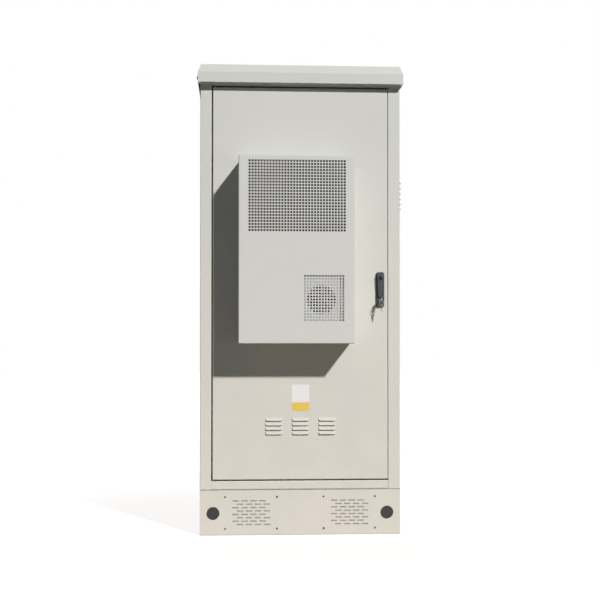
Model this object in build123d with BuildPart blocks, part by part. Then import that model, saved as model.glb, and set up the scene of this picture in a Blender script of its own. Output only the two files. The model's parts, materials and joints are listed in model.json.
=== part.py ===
from build123d import *
from math import cos, pi, radians, sin
import os

# Roadside utility cabinet with a door-mounted cooling unit.
# Millimetres. The origin is the middle of the plinth's footprint, on the ground.
# +Z is up, the door faces -Y and +X is to the right of someone who faces the door.

# Overall sizes
body_width = 800.0
body_depth = 800.0
body_height = 1664.0
plinth_height = 180.0
sheet = 2.0
skin = 1.5
bend_radius = 3.0
seat_gap = 0.3
panel_gap = 0.5

# Plinth
plinth_flange = 50.0
anchor_inset_x = 60.0
anchor_inset_y = 27.0
anchor_hole_radius = 7.0
vent_inset = 204.0
vent_height = 89.0
vent_rows = 8
vent_columns = 4
vent_slot_length = 26.0
vent_slot_height = 5.0
vent_column_pitch = 35.5
vent_row_pitch = 13.4
vent_stagger_share = 0.25
filter_width = 190.0
filter_height = 118.0
filter_thickness = 12.0
filter_screw_spacing_x = 206.0
filter_screw_spacing_z = 126.0
filter_screw_radius = 2.0
filter_screw_head_radius = 4.0
filter_screw_head_height = 2.2
filter_screw_length = 10.0
filter_bracket_width = 226.0
filter_bracket_height = 142.0
plug_inset = 53.0
plug_height = 88.0
plug_flange_radius = 25.0
plug_neck_radius = 21.0
plug_flange_thickness = 3.0
plug_neck_length = 14.0
plug_wall = 3.0

# Base and cable entry
gland_width = 440.0
gland_depth = 220.0
gland_y = 120.0
gland_lap = 20.0
grommet_count_x = 4
grommet_count_y = 2
grommet_pitch_x = 95.0
grommet_pitch_y = 90.0
grommet_neck_radius = 22.0
grommet_flange_radius = 28.0
grommet_flange_thickness = 3.0
grommet_fit = 0.2

# Door and its opening
frame_strip = 50.0
door_sill = 40.0
door_head = 58.0
door_thickness = 30.0
door_lip = 25.0
hinge_gap = 5.0
lock_gap = 1.5
sill_gap = 5.0
head_gap = 6.0
rebate_depth = 36.0
seal_land = 33.0
seal_inset = 14.0
seal_width = 11.0
post_depth = 50.0
rail_flange = 30.0
panel_flange = 20.0

# Pressed louvres
louvre_length = 70.0
louvre_height = 12.0
louvre_depth = 8.0
louvre_skin = 1.5
louvre_taper = 6.0
louvre_pitch = 18.0
louvre_rows = 4
louvre_groups = 3
louvre_group_pitch = 106.0
louvre_field_z = 433.0
side_louvre_length = 130.0
side_louvre_depth = 14.0
side_louvre_pitch = 21.2
side_louvre_rows = 6
side_louvre_edge = 8.0
side_louvre_columns = 3
side_louvre_column_pitch = 160.0
side_louvre_field_z = (342.0, 1367.0)

# Door pivots
pivot_inset = 10.0
pin_radius = 5.0
pin_running_gap = 0.08
pin_length = 34.0
pin_collar_radius = 7.0
pin_collar_height = 4.0
bush_radius = 7.5
bush_length = 16.0
bush_collar_radius = 9.0
pin_hole_gap = 0.2

# Roof
roof_side_overhang = 9.5
roof_front_overhang = 40.0
roof_rear_overhang = 10.0
roof_drop = 45.0
roof_fascia = 40.0
roof_hip = 32.5
roof_hip_inset = 13.0
eave_flange = 16.0
eave_hole = 9.0
eave_hole_count = 36
roof_bolt_radius = 4.0
roof_bolt_head = 13.0
roof_bolt_head_height = 5.5
roof_bolt_length = 20.0
roof_bolt_rise = 28.0
roof_bolt_gap = 0.5
spacer_radius = 8.0

# Equipment rails and earth bar
rail_hole_spacing = 465.1
rail_face = 35.0
rail_return = 28.0
rail_hole = 9.5
rail_hole_pitch = 88.9
rail_hole_inset = 10.0
rail_wall_gap = 100.0
earth_bar_length = 260.0
earth_bar_foot = 30.0
earth_bar_stand = 22.0
earth_bar_height = 25.0
earth_bar_thickness = 4.0
earth_bar_bend = 6.0
earth_bar_z = 320.0

# Cooling unit on the door
cooler_width = 448.0
cooler_height = 727.0
cooler_depth = 200.0
cooler_x = -24.0
cooler_z = 761.0
cooler_flange = 14.0
cooler_bend = 4.0
inlet_columns = 17
inlet_rows = 12
inlet_margin = 29.2
inlet_shift = 1.6
inlet_drop = 157.4
outlet_columns = 7
outlet_rows = 8
outlet_inset = 118.3
outlet_rise = 175.4
hole_web = 7.8
inner_bay = 100.0
coil_thickness = 30.0
coil_front_gap = 10.0
coil_grooves = 13
coil_groove_depth = 6.0
coil_groove_width = 14.0
condenser_height = 290.0
condenser_drop = 306.0
evaporator_height = 200.0
evaporator_rise = 30.0
compressor_gap = 8.0
compressor_height = 190.0
compressor_inset = 95.0
compressor_fillet = 14.0
fan_plate_gap = 15.0
fan_plate_width = 150.0
fan_plate_height = 164.0
fan_frame_size = 120.0
fan_frame_depth = 38.0
fan_bore_radius = 57.0
fan_opening_radius = 56.0
fan_tip_gap = 2.0
fan_hub_radius = 22.0
fan_hub_depth = 24.0
fan_hub_gap = 0.3
fan_blades = 7
fan_blade_pitch = 38.0
fan_blade_chord = 28.0
fan_blade_skin = 2.0
fan_strut_width = 7.0
fan_strut_depth = 5.0
outer_fan_inset = 128.5
outer_fan_rise = 170.0
inner_fan_drop = 156.0
supply_width = 300.0
supply_height = 130.0
supply_rise = 130.0
grille_lap = 16.0
grille_slots = 8
grille_slot_share = 0.5

# Swing handle, lock and rods
handle_inset = 30.5
handle_bottom = 907.0
handle_width = 33.0
handle_height = 141.0
handle_base_depth = 8.0
handle_base_corner = 8.0
handle_bevel = 2.0
spindle_rise = 126.0
spindle_radius = 6.0
spindle_gap = 1.0
spindle_head_width = 10.0
spindle_head_height = 11.0
trunnion_radius = 2.5
trunnion_gap = 0.3
trunnion_length = 20.0
lever_clearance = 0.6
lever_thickness = 13.0
lever_width = 26.0
lever_tip_width = 20.0
lever_rise = 41.0
lever_fork_width = 11.0
lever_fork_depth = 18.0
lever_grip_depth = 4.0
cam_radius = 24.0
cam_thickness = 4.0
cam_stand_off = 8.0
cam_pin_radius = 3.0
cam_pin_circle = 18.0
cam_pin_length = 5.6
rod_width = 22.0
rod_thickness = 4.0
rod_cam_gap = 1.0
rod_offset = 14.0
rod_slot_clearance = 0.9
rod_end_lap = 9.0
rod_tip_proud = 1.0
rod_running_gap = 0.8
guide_wall = 1.6
guide_height = 14.0
guide_shares = (0.4, 0.8)
keeper_gap = 2.0
lock_rise = 27.0
barrel_radius = 9.0
barrel_proud = 4.0
barrel_depth = 11.0
core_radius = 5.5
core_gap = 0.2
key_skin = 2.5
key_blade = 7.0
key_blade_depth = 12.0
key_fit = 0.2
key_neck = 24.0
key_bow_radius = 14.0
key_hole_radius = 3.0
key_hole_inset = 6.0
ring_radius = 9.0
ring_wire = 1.6
ring_play = 0.5
spare_bow_radius = 8.0
spare_hole_radius = 2.2
spare_blade_length = 14.0

# Places worked out from the sizes above
half_width = body_width / 2
half_depth = body_depth / 2
front_y = -half_depth
base_top = plinth_height + sheet
body_top = plinth_height + body_height
frame_top = body_top - sheet
frame_height = frame_top - base_top
anchor_spacing_x = body_width - 2 * anchor_inset_x
anchor_spacing_y = body_depth - 2 * anchor_inset_y
vent_spacing = body_width - 2 * vent_inset
plug_spacing = body_width - 2 * plug_inset
door_width = body_width - 2 * frame_strip
door_height = body_height - door_sill - door_head
door_bottom = plinth_height + door_sill
door_top = door_bottom + door_height
door_mid_z = door_bottom + door_height / 2
door_left = -door_width / 2
door_right = door_width / 2
door_back = front_y + door_thickness
door_inside = front_y + sheet
reveal_left = door_left - hinge_gap
reveal_right = door_right + lock_gap
sill_top = door_bottom - sill_gap
head_bottom = door_top + head_gap
land_y = front_y + rebate_depth
pivot_x = door_left + pivot_inset
pivot_y = front_y + pivot_inset
roof_eave_z = body_top - roof_drop
roof_bolt_z = roof_eave_z + roof_bolt_rise
roof_width = body_width + 2 * roof_side_overhang
roof_depth = body_depth + roof_front_overhang + roof_rear_overhang
roof_mid_y = (roof_rear_overhang - roof_front_overhang) / 2
cooler_front = front_y - cooler_depth
cooler_mid_z = cooler_z + cooler_height / 2
cooler_left = cooler_x - cooler_width / 2
cooler_right = cooler_x + cooler_width / 2
cooler_top = cooler_z + cooler_height
hole_pitch = (cooler_width - 2 * inlet_margin) / inlet_columns
hole_size = hole_pitch - hole_web
inlet_x = cooler_x + inlet_shift
inlet_z = cooler_top - inlet_drop
outlet_x = cooler_right - outlet_inset
outlet_z = cooler_z + outlet_rise
partition_y = front_y - inner_bay
outer_fan_x = cooler_right - outer_fan_inset
outer_fan_z = cooler_z + outer_fan_rise
inner_fan_z = cooler_top - inner_fan_drop
supply_z = cooler_z + supply_rise
condenser_bottom = cooler_top - condenser_drop
evaporator_bottom = cooler_z + evaporator_rise
compressor_radius = (partition_y - cooler_front) / 2 - compressor_gap
compressor_x = cooler_left + compressor_inset
cooler_inner_width = cooler_width - 2 * skin
cooler_inner_height = cooler_height - 2 * skin
handle_x = door_right - handle_inset
spindle_z = handle_bottom + spindle_rise
lever_bottom = handle_bottom + lever_rise
lock_z = handle_bottom + lock_rise
handle_front = front_y - handle_base_depth
lever_back = handle_front - lever_clearance
lever_front = lever_back - lever_thickness
hinge_y = (lever_back + lever_front) / 2
cam_front = door_inside + cam_stand_off
cam_back = cam_front + cam_thickness
rod_front = cam_back + rod_cam_gap
rod_back = rod_front + rod_thickness
cam_pin_reach = cam_pin_circle * cos(radians(45))
key_y = front_y - handle_base_depth - barrel_proud
key_bow_y = key_y - key_neck - key_bow_radius
key_hole_y = key_bow_y - key_bow_radius + key_hole_inset
ring_top_z = lock_z - key_hole_radius + ring_wire / 2 + ring_play
ring_z = ring_top_z - ring_radius
spare_hole_z = ring_z - ring_radius - ring_wire / 2 + spare_hole_radius - ring_play

# Faces of the body, each with its outward normal
left_face = Plane(origin=(-half_width, 0, 0), x_dir=(0, -1, 0), z_dir=(-1, 0, 0))
right_face = Plane(origin=(half_width, 0, 0), x_dir=(0, 1, 0), z_dir=(1, 0, 0))
rear_face = Plane(origin=(0, half_depth, 0), x_dir=(-1, 0, 0), z_dir=(0, 1, 0))

os.makedirs("parts", exist_ok=True)


def facing_front(y):
    """A plane across the cabinet at depth y: local X runs right, local Y up, and it faces the front."""
    return Plane.XZ.offset(-y)


def write_piece(piece, name):
    piece.label = name
    export_step(piece, f"parts/{name}.step")


def folded_sheet(plane, line, length, thickness=sheet, bend=bend_radius):
    """A sheet bent along a line of faces, thickened to the line's left and run along the plane's normal."""
    with BuildPart() as strip:
        with BuildSketch(plane):
            with BuildLine():
                FilletPolyline(*line, radius=bend)
                offset(amount=thickness, side=Side.LEFT)
            make_face()
        extrude(amount=length)
    return strip.part


def tray(plane, width, height, centre, depth, thickness=sheet, bend=bend_radius):
    """A flat panel with four flanges that are bent back from its face."""
    inward = Axis(plane.origin, -plane.z_dir)
    with BuildPart() as panel:
        with BuildSketch(plane):
            with Locations(centre):
                Rectangle(width, height)
        extrude(amount=-depth)
        fillet(faces().sort_by(inward)[0].edges(), radius=bend)
        offset(amount=-thickness, openings=faces().sort_by(inward)[-1])
    return panel.part


def louvre_wedge(length, height, depth, taper):
    """A hood's outline: it slopes out from its top edge to its lower lip, and its ends lean in."""
    with BuildPart() as wedge:
        with BuildSketch(Plane.YZ.offset(-length / 2)):
            with BuildLine():
                Polyline((height / 2, 0), (-height / 2, depth), (-height / 2, 0), close=True)
            make_face()
        extrude(amount=length)
        with BuildSketch(Plane.XZ.offset(-height / 2)):
            with BuildLine():
                Polyline(
                    (-length / 2, 0),
                    (length / 2, 0),
                    (length / 2 - taper, depth),
                    (-length / 2 + taper, depth),
                    close=True,
                )
            make_face()
        extrude(amount=height, mode=Mode.INTERSECT)
    return wedge.part


def louvre_hood(length, height, depth, taper):
    """A pressed hood with a downward slit, on the XY plane with +Z outward and +Y up."""
    with BuildPart() as hood:
        add(louvre_wedge(length, height, depth, taper))
        with Locations((0, -louvre_skin, 0)):
            add(
                louvre_wedge(length - 2 * louvre_skin, height, depth - louvre_skin, taper),
                mode=Mode.SUBTRACT,
            )
    return hood.part


def louvre_slots(length, height, places):
    """The cut-outs behind a set of hoods, as sketches on the panel's own plane."""
    with Locations(*places):
        Rectangle(length - 2 * louvre_skin, height - louvre_skin)


def fan_frame(centre_x, centre_z, front, motor_side):
    """A square fan housing with a round bore and a motor boss on struts at one end."""
    back = front + fan_frame_depth
    strut_y = back if motor_side > 0 else front + fan_strut_depth
    with BuildPart() as frame:
        with BuildSketch(facing_front(back)):
            with Locations((centre_x, centre_z)):
                Rectangle(fan_frame_size, fan_frame_size)
                Circle(fan_bore_radius, mode=Mode.SUBTRACT)
        extrude(amount=fan_frame_depth)
        with BuildSketch(facing_front(strut_y)):
            with Locations((centre_x, centre_z)):
                Circle(fan_hub_radius)
                Rectangle(fan_frame_size, fan_strut_width)
                Rectangle(fan_strut_width, fan_frame_size)
        extrude(amount=fan_strut_depth)
    return frame.part


def fan_rotor(centre_x, centre_z, front):
    """A hub with straight blades set at an angle, turning about the Y axis."""
    blade_y = front - fan_hub_depth / 2
    with BuildPart() as rotor:
        with BuildSketch(facing_front(front)):
            with Locations((centre_x, centre_z)):
                Circle(fan_hub_radius)
        extrude(amount=fan_hub_depth)
        root = fan_hub_radius - fan_blade_skin
        span = fan_bore_radius - fan_tip_gap - root
        for blade in range(fan_blades):
            angle = 2 * pi * blade / fan_blades
            outward = Vector(cos(angle), 0, sin(angle))
            foot = Vector(centre_x, blade_y, centre_z) + outward * root
            with BuildSketch(Plane(origin=foot, x_dir=(0, 1, 0), z_dir=outward)):
                Rectangle(fan_blade_chord, fan_blade_skin, rotation=fan_blade_pitch)
            extrude(amount=span)
    return rotor.part


# Plinth front, with slotted air inlets, knock-out holes and anchor holes
plinth_front_line = (
    (front_y + plinth_flange, plinth_height),
    (front_y, plinth_height),
    (front_y, 0),
    (front_y + plinth_flange, 0),
)
plinth_front_strip = folded_sheet(
    Plane.YZ.offset(-half_width + sheet), plinth_front_line, body_width - 2 * sheet
)
vent_half_shift = vent_column_pitch * vent_stagger_share
vent_sides = (-vent_spacing / 2, vent_spacing / 2)
with BuildPart() as plinth_front:
    add(plinth_front_strip)
    with BuildSketch(facing_front(front_y)):
        for vent_x in vent_sides:
            for row in range(vent_rows):
                row_z = vent_height + (row - (vent_rows - 1) / 2) * vent_row_pitch
                row_shift = vent_half_shift if row % 2 == 0 else -vent_half_shift
                with Locations((vent_x + row_shift, row_z)):
                    with GridLocations(vent_column_pitch, vent_row_pitch, vent_columns, 1):
                        Rectangle(vent_slot_length, vent_slot_height)
            with Locations((vent_x, vent_height)):
                with GridLocations(filter_screw_spacing_x, filter_screw_spacing_z, 2, 2):
                    Circle(filter_screw_radius)
        with Locations((0, plug_height)):
            with GridLocations(plug_spacing, plug_height, 2, 1):
                Circle(plug_neck_radius)
    extrude(amount=-sheet, mode=Mode.SUBTRACT)
    with BuildSketch(Plane.XY):
        with GridLocations(anchor_spacing_x, anchor_spacing_y, 2, 2):
            Circle(anchor_hole_radius)
    extrude(amount=sheet, mode=Mode.SUBTRACT)
write_piece(plinth_front.part, "plinth_front")

# Plinth rear
plinth_rear_line = (
    (half_depth - plinth_flange, 0),
    (half_depth, 0),
    (half_depth, plinth_height),
    (half_depth - plinth_flange, plinth_height),
)
plinth_rear_strip = folded_sheet(
    Plane.YZ.offset(-half_width + sheet), plinth_rear_line, body_width - 2 * sheet
)
with BuildPart() as plinth_rear:
    add(plinth_rear_strip)
    with BuildSketch(Plane.XY):
        with GridLocations(anchor_spacing_x, anchor_spacing_y, 2, 2):
            Circle(anchor_hole_radius)
    extrude(amount=sheet, mode=Mode.SUBTRACT)
write_piece(plinth_rear.part, "plinth_rear")

# Plinth sides: their flanges stop short of the front and rear flanges
plinth_side_line = (
    (-half_width + plinth_flange, plinth_height),
    (-half_width, plinth_height),
    (-half_width, 0),
    (-half_width + plinth_flange, 0),
)
plinth_side_strip = folded_sheet(facing_front(half_depth), plinth_side_line, body_depth)
with BuildPart() as plinth_left:
    add(plinth_side_strip)
    with BuildSketch(Plane.XY):
        with Locations((-half_width + sheet, 0)):
            with GridLocations(plinth_flange, body_depth - plinth_flange, 1, 2):
                Rectangle(plinth_flange, plinth_flange, align=(Align.MIN, Align.CENTER))
    extrude(amount=plinth_height, mode=Mode.SUBTRACT)
with BuildPart() as plinth_right:
    mirror(plinth_left.part, about=Plane.YZ)
write_piece(plinth_left.part, "plinth_left")
write_piece(plinth_right.part, "plinth_right")

# Filter pads behind the inlets, each in a bracket plate that the screws hold
for vent_x, side_name in zip(vent_sides, ("left", "right")):
    with BuildPart() as plinth_filter:
        with BuildSketch(facing_front(front_y + sheet)):
            with Locations((vent_x, vent_height)):
                Rectangle(filter_bracket_width, filter_bracket_height)
                with GridLocations(filter_screw_spacing_x, filter_screw_spacing_z, 2, 2):
                    Circle(filter_screw_radius, mode=Mode.SUBTRACT)
        extrude(amount=-skin)
        with BuildSketch(facing_front(front_y + sheet + skin)):
            with Locations((vent_x, vent_height)):
                Rectangle(filter_width, filter_height)
        extrude(amount=-filter_thickness)
    write_piece(plinth_filter.part, f"plinth_filter_{side_name}")

# Filter screws
with BuildPart() as plinth_filter_screws:
    with BuildSketch(facing_front(front_y)):
        for vent_x in vent_sides:
            with Locations((vent_x, vent_height)):
                with GridLocations(filter_screw_spacing_x, filter_screw_spacing_z, 2, 2):
                    RegularPolygon(filter_screw_head_radius, 6)
    extrude(amount=filter_screw_head_height)
    with BuildSketch(facing_front(front_y)):
        for vent_x in vent_sides:
            with Locations((vent_x, vent_height)):
                with GridLocations(filter_screw_spacing_x, filter_screw_spacing_z, 2, 2):
                    RegularPolygon(filter_screw_radius, 6)
    extrude(amount=-filter_screw_length)
write_piece(plinth_filter_screws.part, "plinth_filter_screws")

# Round plugs in the knock-out holes
with BuildPart() as plinth_plugs:
    with BuildSketch(facing_front(front_y)):
        with Locations((0, plug_height)):
            with GridLocations(plug_spacing, plug_height, 2, 1):
                Circle(plug_flange_radius)
    extrude(amount=plug_flange_thickness)
    with BuildSketch(facing_front(front_y)):
        with Locations((0, plug_height)):
            with GridLocations(plug_spacing, plug_height, 2, 1):
                Circle(plug_neck_radius - seat_gap)
                Circle(plug_neck_radius - plug_wall, mode=Mode.SUBTRACT)
    extrude(amount=-plug_neck_length)
write_piece(plinth_plugs.part, "plinth_plugs")

# Base plate, with a window for the cable entry
with BuildPart() as base_plate:
    with BuildSketch(Plane.XY.offset(plinth_height)):
        Rectangle(body_width, body_depth)
        with Locations((0, gland_y)):
            Rectangle(gland_width - 2 * gland_lap, gland_depth - 2 * gland_lap, mode=Mode.SUBTRACT)
    extrude(amount=sheet)
write_piece(base_plate.part, "base_plate")

# Cable entry plate and its closed rubber grommets
with BuildPart() as gland_plate:
    with BuildSketch(Plane.XY.offset(base_top)):
        with Locations((0, gland_y)):
            Rectangle(gland_width, gland_depth)
            with GridLocations(grommet_pitch_x, grommet_pitch_y, grommet_count_x, grommet_count_y):
                Circle(grommet_neck_radius, mode=Mode.SUBTRACT)
    extrude(amount=sheet)
write_piece(gland_plate.part, "gland_plate")

with BuildPart() as cable_grommets:
    for level, radius, height in (
        (base_top - grommet_flange_thickness, grommet_flange_radius, grommet_flange_thickness),
        (base_top, grommet_neck_radius - grommet_fit, sheet),
        (base_top + sheet, grommet_flange_radius, grommet_flange_thickness),
    ):
        with BuildSketch(Plane.XY.offset(level)):
            with Locations((0, gland_y)):
                with GridLocations(grommet_pitch_x, grommet_pitch_y, grommet_count_x, grommet_count_y):
                    Circle(radius)
        extrude(amount=height)
write_piece(cable_grommets.part, "cable_grommets")

# Front posts: side wall, front face and reveal in one fold
front_left_line = (
    (-half_width, front_y + post_depth),
    (-half_width, front_y),
    (reveal_left, front_y),
    (reveal_left, land_y),
)
front_right_line = (
    (reveal_right, land_y),
    (reveal_right, front_y),
    (half_width, front_y),
    (half_width, front_y + post_depth),
)
rear_left_line = (
    (-half_width + post_depth, half_depth),
    (-half_width, half_depth),
    (-half_width, half_depth - post_depth),
)
rear_right_line = (
    (half_width, half_depth - post_depth),
    (half_width, half_depth),
    (half_width - post_depth, half_depth),
)
bolt_y = half_depth - post_depth / 2
post_plane = Plane.XY.offset(base_top)
for post_name, post_line, bolt_side in (
    ("front_post_left", front_left_line, left_face),
    ("front_post_right", front_right_line, right_face),
    ("rear_post_left", rear_left_line, left_face),
    ("rear_post_right", rear_right_line, right_face),
):
    post_strip = folded_sheet(post_plane, post_line, frame_height)
    with BuildPart() as post:
        add(post_strip)
        with BuildSketch(bolt_side):
            with Locations((-bolt_y, roof_bolt_z), (bolt_y, roof_bolt_z)):
                Circle(roof_bolt_radius + roof_bolt_gap)
        extrude(amount=-sheet, mode=Mode.SUBTRACT)
    write_piece(post.part, post_name)

# Front rails below and above the door
sill_line = (
    (land_y, sill_top),
    (front_y, sill_top),
    (front_y, base_top),
    (front_y + rail_flange, base_top),
)
head_line = (
    (front_y + rail_flange, frame_top),
    (front_y, frame_top),
    (front_y, head_bottom),
    (land_y, head_bottom),
)
upper_rod_x = handle_x - rod_offset
lower_rod_x = handle_x + rod_offset
rod_mid_y = (rod_front + rod_back) / 2
for rail_name, rail_line, rod_x in (
    ("front_bottom_rail", sill_line, lower_rod_x),
    ("front_top_rail", head_line, upper_rod_x),
):
    rail_strip = folded_sheet(Plane.YZ.offset(reveal_left), rail_line, reveal_right - reveal_left)
    with BuildPart() as front_rail:
        add(rail_strip)
        with BuildSketch(Plane.XY.offset(plinth_height)):
            with Locations((pivot_x, pivot_y)):
                Circle(pin_radius + pin_hole_gap)
            with Locations((rod_x, rod_mid_y)):
                Rectangle(rod_width + 2 * keeper_gap, rod_thickness + 2 * keeper_gap)
        if rail_name == "front_bottom_rail":
            extrude(amount=body_height, mode=Mode.SUBTRACT)
        else:
            extrude(amount=frame_top - sheet - plinth_height, mode=Mode.SUBTRACT)
    write_piece(front_rail.part, rail_name)

# Flat strips welded behind the reveals, which the door's seal closes on
land_left = reveal_left - sheet
land_right = reveal_right + sheet
land_inner_left = reveal_left + seal_land
land_inner_right = reveal_right - seal_land
land_low = sill_top + seal_land
land_high = head_bottom - seal_land
with BuildPart() as seal_lands:
    for strip_left, strip_right, strip_low, strip_high in (
        (land_left, land_inner_left, base_top, frame_top),
        (land_inner_right, land_right, base_top, frame_top),
        (land_inner_left + panel_gap, land_inner_right - panel_gap, sill_top - sheet, land_low),
        (land_inner_left + panel_gap, land_inner_right - panel_gap, land_high, head_bottom + sheet),
    ):
        with BuildSketch(facing_front(land_y)):
            with Locations(((strip_left + strip_right) / 2, (strip_low + strip_high) / 2)):
                Rectangle(strip_right - strip_left, strip_high - strip_low)
        extrude(amount=-sheet)
write_piece(seal_lands.part, "seal_lands")

# Side and rear panels between the posts
side_width = body_depth - 2 * post_depth - 2 * panel_gap
rear_width = body_width - 2 * post_depth - 2 * panel_gap
panel_mid_z = base_top + frame_height / 2
side_panel_left = tray(left_face, side_width, frame_height, (0, panel_mid_z), panel_flange)
write_piece(side_panel_left, "side_panel_left")
rear_panel = tray(rear_face, rear_width, frame_height, (0, panel_mid_z), panel_flange)
write_piece(rear_panel, "rear_panel")

side_louvre_x = -side_width / 2 + side_louvre_edge + side_louvre_length / 2
side_louvre_places = [
    (side_louvre_x + column * side_louvre_column_pitch,
     field_z + (row - (side_louvre_rows - 1) / 2) * side_louvre_pitch)
    for field_z in side_louvre_field_z
    for column in range(side_louvre_columns)
    for row in range(side_louvre_rows)
]
side_hood = louvre_hood(side_louvre_length, louvre_height, side_louvre_depth, louvre_taper)
side_tray = tray(right_face, side_width, frame_height, (0, panel_mid_z), panel_flange)
with BuildPart() as side_panel_right:
    add(side_tray)
    with BuildSketch(right_face):
        louvre_slots(side_louvre_length, louvre_height, side_louvre_places)
    extrude(amount=-sheet, mode=Mode.SUBTRACT)
    add([
        side_hood.moved(Location(Plane(
            origin=(half_width, place_y, place_z), x_dir=(0, 1, 0), z_dir=(1, 0, 0)
        )))
        for place_y, place_z in side_louvre_places
    ])
write_piece(side_panel_right.part, "side_panel_right")

# Ceiling
with BuildPart() as ceiling_panel:
    with BuildSketch(Plane.XY.offset(frame_top)):
        Rectangle(body_width, body_depth)
    extrude(amount=sheet)
write_piece(ceiling_panel.part, "ceiling_panel")

# Roof: a vertical fascia, a steep hip and a flat top, open below
roof_top = roof_eave_z + roof_fascia + roof_hip
with BuildPart() as roof_cover:
    with BuildSketch(Plane.XY.offset(roof_eave_z)):
        with Locations((0, roof_mid_y)):
            Rectangle(roof_width, roof_depth)
    extrude(amount=roof_fascia)
    with BuildSketch(Plane.XY.offset(roof_eave_z + roof_fascia)):
        with Locations((0, roof_mid_y)):
            Rectangle(roof_width, roof_depth)
    with BuildSketch(Plane.XY.offset(roof_top)):
        with Locations((0, roof_mid_y)):
            Rectangle(roof_width - 2 * roof_hip_inset, roof_depth - 2 * roof_hip_inset)
    loft()
    offset(amount=-sheet, openings=faces().sort_by(Axis.Z)[0], kind=Kind.INTERSECTION)
    for bolt_side in (left_face, right_face):
        with BuildSketch(bolt_side):
            with Locations((-bolt_y, roof_bolt_z), (bolt_y, roof_bolt_z)):
                Circle(roof_bolt_radius + roof_bolt_gap)
        extrude(amount=roof_side_overhang, mode=Mode.SUBTRACT)
write_piece(roof_cover.part, "roof_cover")

# Perforated soffit under the front overhang
eave_front = front_y - roof_front_overhang + sheet
eave_width = roof_width - 2 * sheet - 2 * panel_gap
eave_hole_pitch = eave_width / (eave_hole_count + 1)
eave_line = (
    (eave_front, roof_eave_z),
    (front_y, roof_eave_z),
    (front_y, roof_eave_z + eave_flange),
)
eave_strip = folded_sheet(Plane.YZ.offset(-eave_width / 2), eave_line, eave_width, skin)
with BuildPart() as roof_eave_vent:
    add(eave_strip)
    with BuildSketch(Plane.XY.offset(roof_eave_z)):
        with Locations((0, (eave_front + front_y) / 2)):
            with GridLocations(eave_hole_pitch, eave_hole_pitch, eave_hole_count, 1):
                Rectangle(eave_hole, eave_hole)
    extrude(amount=skin, mode=Mode.SUBTRACT)
write_piece(roof_eave_vent.part, "roof_eave_vent")

# Roof bolts and the spacers between the fascia and the posts
with BuildPart() as roof_bolts:
    for bolt_side in (left_face, right_face):
        with BuildSketch(bolt_side.offset(roof_side_overhang)):
            with Locations((-bolt_y, roof_bolt_z), (bolt_y, roof_bolt_z)):
                RegularPolygon(roof_bolt_head / 2, 6, major_radius=False)
        extrude(amount=roof_bolt_head_height)
        with BuildSketch(bolt_side.offset(roof_side_overhang)):
            with Locations((-bolt_y, roof_bolt_z), (bolt_y, roof_bolt_z)):
                Circle(roof_bolt_radius)
        extrude(amount=-roof_bolt_length)
write_piece(roof_bolts.part, "roof_bolts")

with BuildPart() as roof_spacers:
    for bolt_side in (left_face, right_face):
        with BuildSketch(bolt_side):
            with Locations((-bolt_y, roof_bolt_z), (bolt_y, roof_bolt_z)):
                Circle(spacer_radius)
                Circle(roof_bolt_radius + roof_bolt_gap, mode=Mode.SUBTRACT)
        extrude(amount=roof_side_overhang - sheet)
write_piece(roof_spacers.part, "roof_spacers")

# Equipment rails: angle sections with square holes
rail_inner = rail_hole_spacing / 2 - rail_hole_inset
rail_outer = rail_inner + rail_face
rail_hole_z = base_top + frame_height / 2
rail_hole_count = int(frame_height / rail_hole_pitch)
rail_y = half_depth - rail_wall_gap
for rail_name, side, rail_line in (
    ("front", -1, ((-rail_outer, -rail_y + rail_return), (-rail_outer, -rail_y), (-rail_inner, -rail_y))),
    ("rear", 1, ((-rail_inner, rail_y), (-rail_outer, rail_y), (-rail_outer, rail_y - rail_return))),
):
    rail_strip = folded_sheet(post_plane, rail_line, frame_height)
    with BuildPart() as rack_rail:
        add(rail_strip)
        with BuildSketch(facing_front(side * rail_y)):
            with Locations((-rail_hole_spacing / 2, rail_hole_z)):
                with GridLocations(rail_hole_pitch, rail_hole_pitch, 1, rail_hole_count):
                    Rectangle(rail_hole, rail_hole)
        extrude(amount=sheet, both=True, mode=Mode.SUBTRACT)
    write_piece(rack_rail.part, f"rack_rail_{rail_name}_left")
    with BuildPart() as rack_rail_mirrored:
        mirror(rack_rail.part, about=Plane.YZ)
    write_piece(rack_rail_mirrored.part, f"rack_rail_{rail_name}_right")

# Earth bar: a strip with a foot folded at each end, on the rear panel
earth_wall = half_depth - sheet
earth_half = earth_bar_length / 2
earth_line = (
    (earth_half, earth_wall),
    (earth_half - earth_bar_foot, earth_wall),
    (earth_half - earth_bar_foot, earth_wall - earth_bar_stand),
    (earth_bar_foot - earth_half, earth_wall - earth_bar_stand),
    (earth_bar_foot - earth_half, earth_wall),
    (-earth_half, earth_wall),
)
earth_bar = folded_sheet(
    Plane.XY.offset(earth_bar_z), earth_line, earth_bar_height, earth_bar_thickness, earth_bar_bend
)
write_piece(earth_bar, "earth_bar")

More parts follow.
